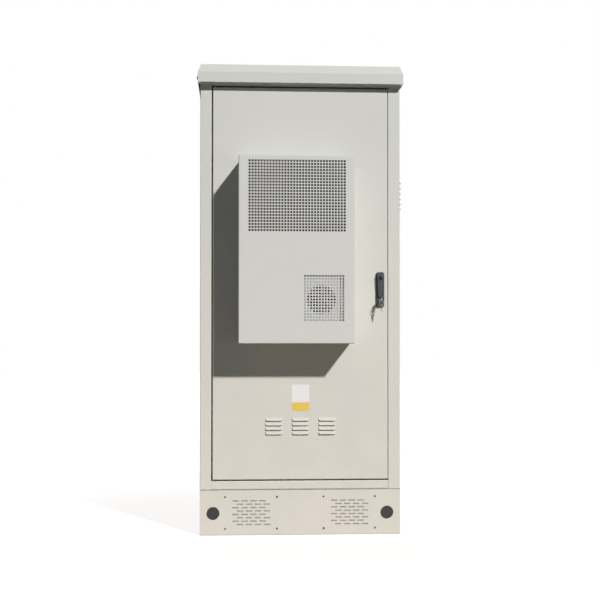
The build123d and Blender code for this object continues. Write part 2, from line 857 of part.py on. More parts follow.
# Door: a folded tray with return lips, louvres and cut-outs
door_plane = facing_front(front_y)
louvre_places = [
    ((group - (louvre_groups - 1) / 2) * louvre_group_pitch,
     louvre_field_z + (row - (louvre_rows - 1) / 2) * louvre_pitch)
    for group in range(louvre_groups)
    for row in range(louvre_rows)
]
door_hood = louvre_hood(louvre_length, louvre_height, louvre_depth, louvre_taper)
with BuildPart() as door_panel:
    with BuildSketch(door_plane):
        with Locations((0, door_mid_z)):
            Rectangle(door_width, door_height)
    extrude(amount=-door_thickness)
    fillet(faces().sort_by(Axis.Y)[0].edges(), radius=bend_radius)
    offset(amount=-sheet, openings=faces().sort_by(Axis.Y)[-1])
    with BuildSketch(facing_front(door_back)):
        with Locations((0, door_mid_z)):
            Rectangle(door_width - 2 * sheet, door_height - 2 * sheet)
            Rectangle(door_width - 2 * door_lip, door_height - 2 * door_lip, mode=Mode.SUBTRACT)
    extrude(amount=sheet)
    with BuildSketch(door_plane):
        louvre_slots(louvre_length, louvre_height, louvre_places)
        with Locations((handle_x, spindle_z)):
            Circle(spindle_radius + spindle_gap)
        with Locations((handle_x, lock_z)):
            Circle(barrel_radius + seat_gap)
        with Locations((cooler_x, inner_fan_z)):
            Circle(fan_opening_radius)
        with Locations((cooler_x, supply_z)):
            Rectangle(supply_width, supply_height)
    extrude(amount=-sheet, mode=Mode.SUBTRACT)
    with BuildSketch(Plane.XY.offset(door_bottom)):
        with Locations((pivot_x, pivot_y)):
            Circle(bush_radius + seat_gap)
    extrude(amount=door_height, mode=Mode.SUBTRACT)
    with BuildSketch(Plane.XY.offset(door_top)):
        with Locations((upper_rod_x, rod_mid_y)):
            Rectangle(rod_width + 2 * rod_running_gap, rod_thickness + 2 * rod_running_gap)
    extrude(amount=-sheet, mode=Mode.SUBTRACT)
    with BuildSketch(Plane.XY.offset(door_bottom)):
        with Locations((lower_rod_x, rod_mid_y)):
            Rectangle(rod_width + 2 * rod_running_gap, rod_thickness + 2 * rod_running_gap)
    extrude(amount=sheet, mode=Mode.SUBTRACT)
    add([
        door_hood.moved(Location(Plane(
            origin=(place_x, front_y, place_z), x_dir=(1, 0, 0), z_dir=(0, -1, 0)
        )))
        for place_x, place_z in louvre_places
    ])
write_piece(door_panel.part, "door_panel")

# Door seal on the return lips
seal_outer_width = door_width - 2 * seal_inset
seal_outer_height = door_height - 2 * seal_inset
with BuildPart() as door_seal:
    with BuildSketch(facing_front(land_y - seat_gap)):
        with Locations((0, door_mid_z)):
            Rectangle(seal_outer_width, seal_outer_height)
            Rectangle(
                seal_outer_width - 2 * seal_width,
                seal_outer_height - 2 * seal_width,
                mode=Mode.SUBTRACT,
            )
    extrude(amount=land_y - seat_gap - door_back)
write_piece(door_seal.part, "door_seal")

# Hinge pins in the rails and their bushes in the door
with BuildPart() as hinge_pins:
    for pin_foot, collar_foot in (
        (sill_top - sheet - pin_collar_height, sill_top - sheet - pin_collar_height),
        (head_bottom + sheet + pin_collar_height - pin_length, head_bottom + sheet),
    ):
        with BuildSketch(Plane.XY.offset(pin_foot)):
            with Locations((pivot_x, pivot_y)):
                Circle(pin_radius)
        extrude(amount=pin_length)
        with BuildSketch(Plane.XY.offset(collar_foot)):
            with Locations((pivot_x, pivot_y)):
                Circle(pin_collar_radius)
        extrude(amount=pin_collar_height)
write_piece(hinge_pins.part, "hinge_pins")

with BuildPart() as hinge_bushes:
    for sleeve_foot, collar_foot, collar_height in (
        (door_bottom, sill_top + seat_gap, sill_gap - seat_gap),
        (door_top - bush_length, door_top, head_gap - seat_gap),
    ):
        with BuildSketch(Plane.XY.offset(sleeve_foot)):
            with Locations((pivot_x, pivot_y)):
                Circle(bush_radius)
                Circle(pin_radius + pin_running_gap, mode=Mode.SUBTRACT)
        extrude(amount=bush_length)
        with BuildSketch(Plane.XY.offset(collar_foot)):
            with Locations((pivot_x, pivot_y)):
                Circle(bush_collar_radius)
                Circle(pin_radius + pin_running_gap, mode=Mode.SUBTRACT)
        extrude(amount=collar_height)
write_piece(hinge_bushes.part, "hinge_bushes")

# Cooling unit: casing walls, perforated front, back plate and partition
with BuildPart() as cooler_casing:
    with BuildSketch(door_plane):
        with Locations((cooler_x, cooler_mid_z)):
            Rectangle(cooler_width, cooler_height)
            Rectangle(cooler_inner_width, cooler_inner_height, mode=Mode.SUBTRACT)
    extrude(amount=cooler_depth - cooler_flange)
write_piece(cooler_casing.part, "cooler_casing")

cooler_tray = tray(
    facing_front(cooler_front),
    cooler_width,
    cooler_height,
    (cooler_x, cooler_mid_z),
    cooler_flange,
    skin,
    cooler_bend,
)
with BuildPart() as cooler_front_panel:
    add(cooler_tray)
    with BuildSketch(facing_front(cooler_front)):
        with Locations((inlet_x, inlet_z)):
            with GridLocations(hole_pitch, hole_pitch, inlet_columns, inlet_rows):
                Rectangle(hole_size, hole_size)
        with Locations((outlet_x, outlet_z)):
            with GridLocations(hole_pitch, hole_pitch, outlet_columns, outlet_rows):
                Rectangle(hole_size, hole_size)
    extrude(amount=-skin, mode=Mode.SUBTRACT)
write_piece(cooler_front_panel.part, "cooler_front_panel")

plate_width = cooler_inner_width - 2 * seat_gap
plate_height = cooler_inner_height - 2 * seat_gap
with BuildPart() as cooler_back_plate:
    with BuildSketch(door_plane):
        with Locations((cooler_x, cooler_mid_z)):
            Rectangle(plate_width, plate_height)
        with Locations((cooler_x, inner_fan_z)):
            Circle(fan_opening_radius, mode=Mode.SUBTRACT)
        with Locations((cooler_x, supply_z)):
            Rectangle(supply_width, supply_height, mode=Mode.SUBTRACT)
    extrude(amount=skin)
write_piece(cooler_back_plate.part, "cooler_back_plate")

with BuildPart() as cooler_partition:
    with BuildSketch(facing_front(partition_y)):
        with Locations((cooler_x, cooler_mid_z)):
            Rectangle(plate_width, plate_height)
    extrude(amount=skin)
write_piece(cooler_partition.part, "cooler_partition")

# Finned coils, each wide enough to seat between the casing walls
condenser_front = cooler_front + skin + coil_front_gap
evaporator_front = partition_y + coil_front_gap
coil_pitch = plate_width / (coil_grooves + 1)
for coil_name, coil_front, coil_bottom, coil_height in (
    ("condenser_coil", condenser_front, condenser_bottom, condenser_height),
    ("evaporator_coil", evaporator_front, evaporator_bottom, evaporator_height),
):
    coil_mid_z = coil_bottom + coil_height / 2
    with BuildPart() as coil:
        with BuildSketch(facing_front(coil_front)):
            with Locations((cooler_x, coil_mid_z)):
                Rectangle(plate_width, coil_height)
        extrude(amount=-coil_thickness)
        with BuildSketch(facing_front(coil_front)):
            with Locations((cooler_x, coil_mid_z)):
                with GridLocations(coil_pitch, coil_height, coil_grooves, 1):
                    Rectangle(coil_groove_width, coil_height)
        extrude(amount=-coil_groove_depth, mode=Mode.SUBTRACT)
    write_piece(coil.part, coil_name)

# Compressor can, standing on the casing floor
compressor_y = (partition_y + cooler_front) / 2
with BuildPart() as compressor:
    with BuildSketch(Plane.XY.offset(cooler_z + skin)):
        with Locations((compressor_x, compressor_y)):
            Circle(compressor_radius)
    extrude(amount=compressor_height)
    fillet(edges().filter_by(GeomType.CIRCLE).sort_by(Axis.Z)[-1], radius=compressor_fillet)
write_piece(compressor.part, "compressor")

# Outer fan on a bent plate that stands on the partition
fan_plate_front = cooler_front + fan_plate_gap
fan_plate_left = outer_fan_x - fan_plate_width / 2
fan_plate_right = outer_fan_x + fan_plate_width / 2
fan_plate_foot = partition_y - skin
fan_plate_line = (
    (fan_plate_left, fan_plate_foot),
    (fan_plate_left, fan_plate_front),
    (fan_plate_right, fan_plate_front),
    (fan_plate_right, fan_plate_foot),
)
fan_plate_strip = folded_sheet(
    Plane.XY.offset(outer_fan_z - fan_plate_height / 2), fan_plate_line, fan_plate_height, skin
)
with BuildPart() as outer_fan_plate:
    add(fan_plate_strip)
    with BuildSketch(facing_front(fan_plate_front)):
        with Locations((outer_fan_x, outer_fan_z)):
            Circle(fan_opening_radius)
    extrude(amount=-skin, mode=Mode.SUBTRACT)
write_piece(outer_fan_plate.part, "outer_fan_plate")

outer_fan_front = fan_plate_front + skin
outer_rotor_back = outer_fan_front + fan_frame_depth - fan_strut_depth - fan_hub_gap
write_piece(fan_frame(outer_fan_x, outer_fan_z, outer_fan_front, 1), "outer_fan_frame")
write_piece(fan_rotor(outer_fan_x, outer_fan_z, outer_rotor_back), "outer_fan_rotor")

# Inner fan on the back plate
inner_fan_front = front_y - skin - fan_frame_depth
write_piece(fan_frame(cooler_x, inner_fan_z, inner_fan_front, -1), "inner_fan_frame")
inner_hub_front = inner_fan_front + fan_strut_depth + fan_hub_gap
write_piece(fan_rotor(cooler_x, inner_fan_z, inner_hub_front + fan_hub_depth), "inner_fan_rotor")

# Slotted grilles over the openings, on the inside of the door
return_size = 2 * fan_opening_radius
with BuildPart() as inner_grilles:
    for grille_z, grille_width, grille_height in (
        (inner_fan_z, return_size, return_size),
        (supply_z, supply_width, supply_height),
    ):
        slot_pitch = grille_width / grille_slots
        with BuildSketch(facing_front(door_inside)):
            with Locations((cooler_x, grille_z)):
                Rectangle(grille_width + 2 * grille_lap, grille_height + 2 * grille_lap)
                with GridLocations(slot_pitch, grille_height, grille_slots, 1):
                    Rectangle(slot_pitch * grille_slot_share, grille_height, mode=Mode.SUBTRACT)
        extrude(amount=-skin)
write_piece(inner_grilles.part, "inner_grilles")

# Handle base: a bevelled plate with holes for the spindle and the lock
with BuildPart() as handle_base:
    with BuildSketch(door_plane):
        with Locations((handle_x, handle_bottom + handle_height / 2)):
            RectangleRounded(handle_width, handle_height, handle_base_corner)
    extrude(amount=handle_base_depth)
    chamfer(faces().sort_by(Axis.Y)[0].edges(), length=handle_bevel)
    with BuildSketch(door_plane):
        with Locations((handle_x, spindle_z)):
            Circle(spindle_radius + spindle_gap)
        with Locations((handle_x, lock_z)):
            Circle(barrel_radius + seat_gap)
    extrude(amount=handle_base_depth, mode=Mode.SUBTRACT)
write_piece(handle_base.part, "handle_base")

# Spindle: a shaft with a flat head that carries the lever's trunnion
with BuildPart() as handle_spindle:
    with BuildSketch(facing_front(cam_front)):
        with Locations((handle_x, spindle_z)):
            Circle(spindle_radius)
    extrude(amount=cam_front - lever_back)
    with BuildSketch(facing_front(lever_back)):
        with Locations((handle_x, spindle_z)):
            Rectangle(spindle_head_width, spindle_head_height)
    extrude(amount=lever_thickness)
    with BuildSketch(Plane.YZ.offset(handle_x - trunnion_length / 2)):
        with Locations((hinge_y, spindle_z)):
            Circle(trunnion_radius)
    extrude(amount=trunnion_length)
write_piece(handle_spindle.part, "handle_spindle")

# Lever: rounded about its trunnion, forked round the spindle's head, tapering to its grip
lever_round = lever_thickness / 2
with BuildPart() as handle_lever:
    with BuildSketch(Plane.YZ.offset(handle_x - lever_width / 2)):
        with BuildLine():
            Line((lever_back, spindle_z), (lever_back, lever_bottom))
            Line((lever_back, lever_bottom), (lever_front + lever_grip_depth, lever_bottom))
            Line((lever_front + lever_grip_depth, lever_bottom), (lever_front, spindle_z))
            RadiusArc((lever_front, spindle_z), (lever_back, spindle_z), lever_round)
        make_face()
    extrude(amount=lever_width)
    with BuildSketch(facing_front(lever_back)):
        with BuildLine():
            Polyline(
                (handle_x - lever_width / 2, spindle_z + lever_round),
                (handle_x + lever_width / 2, spindle_z + lever_round),
                (handle_x + lever_tip_width / 2, lever_bottom),
                (handle_x - lever_tip_width / 2, lever_bottom),
                close=True,
            )
        make_face()
    extrude(amount=lever_thickness, mode=Mode.INTERSECT)
    chamfer(faces().sort_by(Axis.Y)[0].edges().filter_by(Axis.X, reverse=True), length=handle_bevel)
    with BuildSketch(facing_front(lever_back)):
        with Locations((handle_x, spindle_z + lever_round)):
            Rectangle(
                lever_fork_width, lever_fork_depth + lever_round, align=(Align.CENTER, Align.MAX)
            )
    extrude(amount=lever_thickness, mode=Mode.SUBTRACT)
    with BuildSketch(Plane.YZ.offset(handle_x - lever_width / 2)):
        with Locations((hinge_y, spindle_z)):
            Circle(trunnion_radius + trunnion_gap)
    extrude(amount=lever_width, mode=Mode.SUBTRACT)
write_piece(handle_lever.part, "handle_lever")

# Cam behind the door skin, with a drive pin for each rod
with BuildPart() as lock_cam:
    with BuildSketch(facing_front(cam_back)):
        with Locations((handle_x, spindle_z)):
            Circle(cam_radius)
    extrude(amount=cam_thickness)
    with BuildSketch(facing_front(cam_back)):
        with Locations(
            (handle_x - cam_pin_reach, spindle_z + cam_pin_reach),
            (handle_x + cam_pin_reach, spindle_z - cam_pin_reach),
        ):
            Circle(cam_pin_radius)
    extrude(amount=-cam_pin_length)
write_piece(lock_cam.part, "lock_cam")

# Lock rods: flat bars with a cross slot that the cam's pin runs in
slot_reach = cam_pin_circle - cam_pin_reach
slot_length = slot_reach + 2 * (cam_pin_radius + rod_slot_clearance)
slot_height = 2 * (cam_pin_radius + rod_slot_clearance)
slot_offset = cam_pin_reach + slot_reach / 2
for rod_name, rod_x, rod_low, rod_high, slot_x, slot_z in (
    (
        "upper_lock_rod",
        upper_rod_x,
        spindle_z + cam_pin_reach - rod_end_lap,
        door_top + rod_tip_proud,
        handle_x - slot_offset,
        spindle_z + cam_pin_reach,
    ),
    (
        "lower_lock_rod",
        lower_rod_x,
        door_bottom - rod_tip_proud,
        spindle_z - cam_pin_reach + rod_end_lap,
        handle_x + slot_offset,
        spindle_z - cam_pin_reach,
    ),
):
    with BuildPart() as lock_rod:
        with BuildSketch(facing_front(rod_back)):
            with Locations((rod_x, (rod_low + rod_high) / 2)):
                Rectangle(rod_width, rod_high - rod_low)
            with Locations((slot_x, slot_z)):
                Rectangle(slot_length, slot_height, mode=Mode.SUBTRACT)
        extrude(amount=rod_thickness)
    write_piece(lock_rod.part, rod_name)

# Rod guides on the inside of the door
guide_depth = rod_back + rod_running_gap + guide_wall - door_inside
with BuildPart() as rod_guides:
    for guide_x, guide_z in (
        (rod_x, spindle_z + share * (rod_end - spindle_z))
        for rod_x, rod_end in ((upper_rod_x, door_top), (lower_rod_x, door_bottom))
        for share in guide_shares
    ):
        with BuildSketch(Plane.XY.offset(guide_z)):
            with Locations((guide_x, door_inside)):
                Rectangle(
                    rod_width + 2 * (rod_running_gap + guide_wall),
                    guide_depth,
                    align=(Align.CENTER, Align.MIN),
                )
            with Locations((guide_x, rod_mid_y)):
                Rectangle(
                    rod_width + 2 * rod_running_gap,
                    rod_thickness + 2 * rod_running_gap,
                    mode=Mode.SUBTRACT,
                )
        extrude(amount=guide_height)
write_piece(rod_guides.part, "rod_guides")

# Lock barrel, its turning core and the key in it
with BuildPart() as lock_barrel:
    with BuildSketch(facing_front(door_inside + barrel_depth)):
        with Locations((handle_x, lock_z)):
            Circle(barrel_radius)
            Circle(core_radius + core_gap, mode=Mode.SUBTRACT)
    extrude(amount=door_inside + barrel_depth - key_y)
write_piece(lock_barrel.part, "lock_barrel")

with BuildPart() as lock_core:
    with BuildSketch(facing_front(door_inside + barrel_depth)):
        with Locations((handle_x, lock_z)):
            Circle(core_radius)
    extrude(amount=door_inside + barrel_depth - key_y)
    with BuildSketch(facing_front(key_y)):
        with Locations((handle_x, lock_z)):
            Rectangle(key_skin + 2 * key_fit, key_blade + 2 * key_fit)
    extrude(amount=-key_blade_depth, mode=Mode.SUBTRACT)
write_piece(lock_core.part, "lock_core")

with BuildPart() as key:
    with BuildSketch(Plane.YZ.offset(handle_x - key_skin / 2)):
        with Locations((key_y + key_blade_depth, lock_z)):
            Rectangle(
                key_blade_depth + key_neck + key_bow_radius,
                key_blade,
                align=(Align.MAX, Align.CENTER),
            )
        with Locations((key_bow_y, lock_z)):
            Circle(key_bow_radius)
        with Locations((key_hole_y, lock_z)):
            Circle(key_hole_radius, mode=Mode.SUBTRACT)
    extrude(amount=key_skin)
write_piece(key.part, "key")

# Split ring through the key's bow, and the spare key that hangs from it
with BuildPart() as key_ring:
    with BuildSketch(Plane.YZ.offset(handle_x)):
        with Locations((key_hole_y, ring_z + ring_radius)):
            Rectangle(ring_wire, ring_wire)
    revolve(axis=Axis((handle_x, key_hole_y, ring_z), (0, 1, 0)))
write_piece(key_ring.part, "key_ring")

with BuildPart() as spare_key:
    with BuildSketch(Plane.YZ.offset(handle_x - key_skin / 2)):
        with Locations((key_hole_y, spare_hole_z - spare_bow_radius / 2)):
            Circle(spare_bow_radius)
            Rectangle(
                key_blade, spare_bow_radius + spare_blade_length, align=(Align.CENTER, Align.MAX)
            )
        with Locations((key_hole_y, spare_hole_z)):
            Circle(spare_hole_radius, mode=Mode.SUBTRACT)
    extrude(amount=key_skin)
write_piece(spare_key.part, "spare_key")
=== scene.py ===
# %% [markdown]
# # A roadside utility cabinet
# The cabinet is bent from powder-coated steel sheet: a vented plinth, a body, a flush door and a roof that overhangs
# its front. A cooling unit sits on the door. The solid model gives every piece its place and size. This lesson gives
# the pieces their finishes, punches the fine perforations, and sets the light and the camera.

# %% Load the frame
import json
import math
from bisect import bisect

import bmesh
import bpy
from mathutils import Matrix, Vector


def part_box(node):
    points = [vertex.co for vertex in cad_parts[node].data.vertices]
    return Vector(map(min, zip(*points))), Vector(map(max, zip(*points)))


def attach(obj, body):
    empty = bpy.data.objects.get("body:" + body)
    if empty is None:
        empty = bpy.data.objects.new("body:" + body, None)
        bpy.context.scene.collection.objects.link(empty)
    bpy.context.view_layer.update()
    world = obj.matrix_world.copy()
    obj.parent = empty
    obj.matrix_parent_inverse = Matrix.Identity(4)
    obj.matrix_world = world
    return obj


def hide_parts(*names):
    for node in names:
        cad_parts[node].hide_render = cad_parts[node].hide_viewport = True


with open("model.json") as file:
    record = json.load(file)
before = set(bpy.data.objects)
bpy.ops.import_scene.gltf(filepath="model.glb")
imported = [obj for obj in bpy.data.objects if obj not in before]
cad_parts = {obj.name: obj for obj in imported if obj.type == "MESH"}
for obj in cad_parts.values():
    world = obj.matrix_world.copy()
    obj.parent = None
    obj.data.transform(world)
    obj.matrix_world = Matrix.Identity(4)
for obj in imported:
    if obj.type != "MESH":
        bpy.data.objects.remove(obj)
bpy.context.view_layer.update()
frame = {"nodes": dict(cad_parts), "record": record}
nodes = frame["nodes"]
MM = 0.001
print("pieces in the frame:", len(nodes))

# %% [markdown]
# ## Colours and nodes
# Colours are written as the hex values that a paint chart gives. Shader sockets take linear light, so one function
# converts them. A second function adds a node, sets it and links it, which keeps each finish short enough to read.


# %% Colour and node helpers
def linear(hex_colour):
    """The linear RGBA colour of an sRGB hex value."""
    channels = [int(hex_colour[i:i + 2], 16) / 255 for i in (1, 3, 5)]
    return tuple(c / 12.92 if c <= 0.04045 else ((c + 0.055) / 1.055) ** 2.4 for c in channels) + (1.0,)


def add_node(tree, kind, settings=None, inputs=None):
    """Add a node, set its properties, then fill its inputs with values or links."""
    node = tree.nodes.new(kind)
    for name, value in (settings or {}).items():
        setattr(node, name, value)
    for name, value in (inputs or {}).items():
        if isinstance(value, bpy.types.NodeSocket):
            tree.links.new(value, node.inputs[name])
        else:
            node.inputs[name].default_value = value
    return node


def new_finish(name, colour, roughness, metallic=0.0, **sockets):
    """A material with one Principled shader, and the coordinates of the row frame in metres."""
    finish = bpy.data.materials.new(name)
    finish.use_nodes = True
    tree = finish.node_tree
    shader = tree.nodes["Principled BSDF"]
    shader.inputs["Base Color"].default_value = linear(colour)
    shader.inputs["Roughness"].default_value = roughness
    shader.inputs["Metallic"].default_value = metallic
    for socket, value in sockets.items():
        shader.inputs[socket.replace("_", " ")].default_value = value
    place = add_node(tree, "ShaderNodeTexCoord").outputs["Object"]
    return finish, tree, shader, place


def grain(tree, place, size_mm, detail=2.0):
    """Noise whose patches are about size_mm across."""
    return add_node(
        tree,
        "ShaderNodeTexNoise",
        inputs={"Vector": place, "Scale": 1 / (size_mm * MM), "Detail": detail, "Roughness": 0.55},
    )


def spread(tree, value, low, high):
    """Map a noise value to the range between low and high."""
    return add_node(
        tree,
        "ShaderNodeMapRange",
        inputs={"Value": value, "From Min": 0.3, "From Max": 0.7, "To Min": low, "To Max": high},
    ).outputs["Result"]


def raise_surface(tree, shader, height, depth_mm, strength=1.0):
    """Bump the surface by a height field."""
    bump = add_node(
        tree,
        "ShaderNodeBump",
        inputs={"Height": height, "Distance": depth_mm * MM, "Strength": strength},
    )
    tree.links.new(bump.outputs["Normal"], shader.inputs["Normal"])


print("helpers ready")

# %% [markdown]
# ## Powder-coated steel
# The sheet is sprayed with polyester powder and baked. The film flows into a fine orange peel, a few millimetres from
# crest to crest, with a satin gloss. Outdoors it gathers a thin film of dust, thicker near the ground. A darker line
# along the seam where the body stands on the plinth is painted shade. The peel is too fine to show from across a
# street, so it is drawn a little coarser than it is.


# %% Powder coat
seam_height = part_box("plinth_front")[1].z
# A thin band at the seam's height is painted shade for the joint between body and plinth.
seam_shade_mm = 3.5
seam_shade_colour = "#8A857B"
dust_top = 1.6
dust_patch_mm, sheen_patch_mm = 140, 60
peel_mm, peel_depth_mm = 4, 0.06


def powder_coat(name, colour, dusty_colour):
    """Satin paint with dust that thins out with height, painted shade along the seam and a fine orange peel."""
    finish, tree, shader, place = new_finish(name, colour, 0.42)
    height = add_node(tree, "ShaderNodeSeparateXYZ", inputs={"Vector": place}).outputs["Z"]
    low_down = add_node(
        tree,
        "ShaderNodeMapRange",
        inputs={"Value": height, "From Min": 0.0, "From Max": dust_top, "To Min": 1.0, "To Max": 0.0},
    ).outputs["Result"]
    cloud = spread(tree, grain(tree, place, dust_patch_mm, 3.0).outputs["Fac"], 0.55, 1.0)
    dust = add_node(tree, "ShaderNodeMath", {"operation": "MULTIPLY"}, {0: low_down, 1: cloud}).outputs[0]
    paint = add_node(
        tree,
        "ShaderNodeMix",
        {"data_type": "RGBA"},
        {"Factor": dust, "A": linear(colour), "B": linear(dusty_colour)},
    )
    # Painted shade: the band at the seam's height turns to a darker colour.
    from_seam = add_node(
        tree,
        "ShaderNodeMath",
        {"operation": "COMPARE"},
        {0: height, 1: seam_height, 2: seam_shade_mm * MM / 2},
    ).outputs[0]
    seam_shaded = add_node(
        tree,
        "ShaderNodeMix",
        {"data_type": "RGBA"},
        {"Factor": from_seam, "A": paint.outputs["Result"], "B": linear(seam_shade_colour)},
    )
    tree.links.new(seam_shaded.outputs["Result"], shader.inputs["Base Color"])
    sheen = spread(tree, grain(tree, place, sheen_patch_mm).outputs["Fac"], 0.38, 0.5)
    tree.links.new(sheen, shader.inputs["Roughness"])
    raise_surface(tree, shader, grain(tree, place, peel_mm).outputs["Fac"], peel_depth_mm)
    return finish


cabinet_coat = powder_coat("polyester_powder_coat_grey", "#C1C0B9", "#D1C9BE")
cooler_coat = powder_coat("polyester_powder_coat_cooler", "#C3C2BE", "#CEC8C0")
print("paint:", cabinet_coat.name, cooler_coat.name)

# %% [markdown]
# ## Metals
# Inner plates and rails are zinc-plated and passivated: a soft grey with faint spangle. Keys and the split ring are
# satin nickel-plated, which is a little warm. Coil fins are thin aluminium, and read as fine upright lines. Their
# near-black colour is painted shade for the dark space behind the cover's holes.


# %% Metals
plating_grain_mm, plating_depth_mm = 1.5, 0.02
wave_repeat = 0.314  # A wave texture at scale 1 repeats after this many metres.


def plated(name, colour, roughness, spangle_mm, variation):
    """Plated or cast metal whose gloss varies in patches."""
    finish, tree, shader, place = new_finish(name, colour, roughness, 1.0)
    patches = grain(tree, place, spangle_mm, 4.0).outputs["Fac"]
    tree.links.new(spread(tree, patches, roughness - variation, roughness + variation), shader.inputs["Roughness"])
    raise_surface(tree, shader, grain(tree, place, plating_grain_mm).outputs["Fac"], plating_depth_mm)
    return finish


def finned(name, colour, fin_mm, depth_mm):
    """A coated block of upright fins, one every fin_mm."""
    finish, tree, shader, place = new_finish(name, colour, 0.7)
    fins = add_node(
        tree,
        "ShaderNodeTexWave",
        {"wave_type": "BANDS", "bands_direction": "X"},
        {"Vector": place, "Scale": wave_repeat / (fin_mm * MM), "Distortion": 0.0},
    )
    raise_surface(tree, shader, fins.outputs["Fac"], depth_mm)
    return finish


zinc_plate = plated("zinc_plated_steel", "#B9BBBB", roughness=0.42, spangle_mm=9, variation=0.08)
dark_screw = plated("blackened_steel_screw", "#55554F", roughness=0.5, spangle_mm=3, variation=0.1)
nickel_plate = plated("satin_nickel_plated_brass", "#7C7973", roughness=0.42, spangle_mm=4, variation=0.06)
die_cast = plated("die_cast_zinc", "#8E8F8E", roughness=0.45, spangle_mm=3, variation=0.08)
dark_cast = plated("black_passivated_die_cast_zinc", "#3C4042", roughness=0.5, spangle_mm=3, variation=0.08)
earth_metal = plated("tinned_copper", "#B7957A", roughness=0.36, spangle_mm=5, variation=0.08)
# The fins are near-black: painted shade for the dark space behind the cover's holes.
coil_fins = finned("aluminium_fins_painted_shade", "#141413", fin_mm=2.5, depth_mm=0.8)
print("metals ready")

# %% [markdown]
# ## Plastics, rubber and fibre
# The handle is glass-filled nylon moulded against an eroded tool, so it has a fine even grain. The plugs are softer
# polyethylene. The seal and grommets are EPDM rubber, the filter is a matted fibre pad and the compressor is enamelled.


# %% Plastics, rubber and fibre
mottle_mm = 12


def moulded(name, colour, roughness, grain_mm, depth_mm):
    """Plastic, rubber, fibre or film with an even grain."""
    finish, tree, shader, place = new_finish(name, colour, roughness)
    mottle = grain(tree, place, mottle_mm).outputs["Fac"]
    tree.links.new(spread(tree, mottle, roughness - 0.05, roughness + 0.06), shader.inputs["Roughness"])
    raise_surface(tree, shader, grain(tree, place, grain_mm).outputs["Fac"], depth_mm)
    return finish


nylon_black = moulded("glass_filled_nylon_black", "#2A2F31", roughness=0.45, grain_mm=0.8, depth_mm=0.05)
polyethylene = moulded("polyethylene_black", "#1A1917", roughness=0.5, grain_mm=2, depth_mm=0.05)
fan_plastic = moulded("pbt_fan_plastic_black", "#161616", roughness=0.55, grain_mm=1.5, depth_mm=0.04)
epdm = moulded("epdm_rubber", "#1C1C1C", roughness=0.75, grain_mm=1.2, depth_mm=0.08)
# Painted shade: a black sheet that lies on the eave vent's slots and stands for the dark cavity behind them.
slot_shade_sheet_finish = moulded("black_slot_shade_sheet", "#0D0D0D", roughness=0.85, grain_mm=1.2, depth_mm=0.3)
# The vent strip's coat is paler than the body's paint: painted light for the light it picks up from the ground below.
vent_coat_painted_light = moulded("powder_coat_vent_painted_light", "#F0F3F3", roughness=0.42, grain_mm=4, depth_mm=0.06)
enamel = moulded("black_enamel", "#141414", roughness=0.22, grain_mm=6, depth_mm=0.03)
filter_pad = moulded("matted_fibre_filter", "#9A968E", roughness=0.95, grain_mm=1.6, depth_mm=0.9)
print("plastics ready")

# %% [markdown]
# ## Give each node its finish
# The record already groups the nodes by material slot. The finishes follow that grouping, so a node that is added
# later gets its finish from its slot.

# %% Assign the finishes
finish_of_slot = {
    "grey_powder_coat": cabinet_coat,
    "cooler_powder_coat": cooler_coat,
    "zinc_plated_steel": zinc_plate,
    "dark_screws": dark_screw,
    "black_rubber": epdm,
    "black_plastic": nylon_black,
    "die_cast_zinc": die_cast,
    "nickel_plate": nickel_plate,
    "coil_fins": coil_fins,
    "black_enamel": enamel,
    "brass": earth_metal,
    "filter_mesh": filter_pad,
}
own_finish = {
    "plinth_plugs": polyethylene,
    "handle_spindle": dark_cast,
    "lock_barrel": dark_cast,
    "outer_fan_frame": fan_plastic,
    "outer_fan_rotor": fan_plastic,
    "inner_fan_frame": fan_plastic,
    "inner_fan_rotor": fan_plastic,
}
slot_of_node = {part["node"]: part["material_slot"] for part in frame["record"]["subparts"]}
for name, node in nodes.items():
    node.data.materials.clear()
    node.data.materials.append(own_finish.get(name, finish_of_slot[slot_of_node[name]]))
print("finished nodes:", len(nodes))

# %% [markdown]
# ## The cooling unit's cover
# The real cover is one sheet with two fields of punched square holes and rounded bends at its edges. A grid of cells
# makes it: cells that fall on a hole are left out, and the rest get a front, a back and walls towards the holes. The
# bends are swept round the outline afterwards, with a point at each grid line, so the mesh is closed.


# %% A sheet with a grid of square holes
def in_field(a, b, lines_a, lines_b):
    """Whether a point lies in a hole of a field, whose lines are the holes' edges along both axes."""
    return bisect(lines_a, a) % 2 == 1 and bisect(lines_b, b) % 2 == 1


def punched_grid(bm, across, along, front, back, place, is_hole, rim=False):
    """Faces of a sheet between two depths. Holes stay open and get walls, and so does the rim if asked for."""
    corners = {}

    def corner(i, j, depth):
        key = (i, j, depth)
        if key not in corners:
            corners[key] = bm.verts.new(place(across[i], along[j], depth))
        return corners[key]

    def is_open(i, j):
        if not (0 <= i < len(across) - 1 and 0 <= j < len(along) - 1):
            return rim
        return is_hole((across[i] + across[i + 1]) / 2, (along[j] + along[j + 1]) / 2)

    for i in range(len(across) - 1):
        for j in range(len(along) - 1):
            if is_open(i, j):
                continue
            ring = [(i, j), (i + 1, j), (i + 1, j + 1), (i, j + 1)]
            beyond = [(i, j - 1), (i + 1, j), (i, j + 1), (i - 1, j)]
            bm.faces.new([corner(*c, front) for c in ring])
            bm.faces.new([corner(*c, back) for c in reversed(ring)])
            for a, b, cell in zip(ring, ring[1:] + ring[:1], beyond):
                if is_open(*cell):
                    bm.faces.new([corner(*b, front), corner(*a, front), corner(*a, back), corner(*b, back)])


def field_lines(centre, pitch, hole, count):
    """The edges of a row of holes along one axis."""
    first = centre - pitch * (count - 1) / 2
    return [first + k * pitch + side * hole / 2 for k in range(count) for side in (-1, 1)]


def add_box(bm, size, centre):
    """Add a closed box to a bmesh."""
    corners = bmesh.ops.create_cube(bm, size=1)["verts"]
    bmesh.ops.scale(bm, vec=size, verts=corners)
    bmesh.ops.translate(bm, vec=centre, verts=corners)


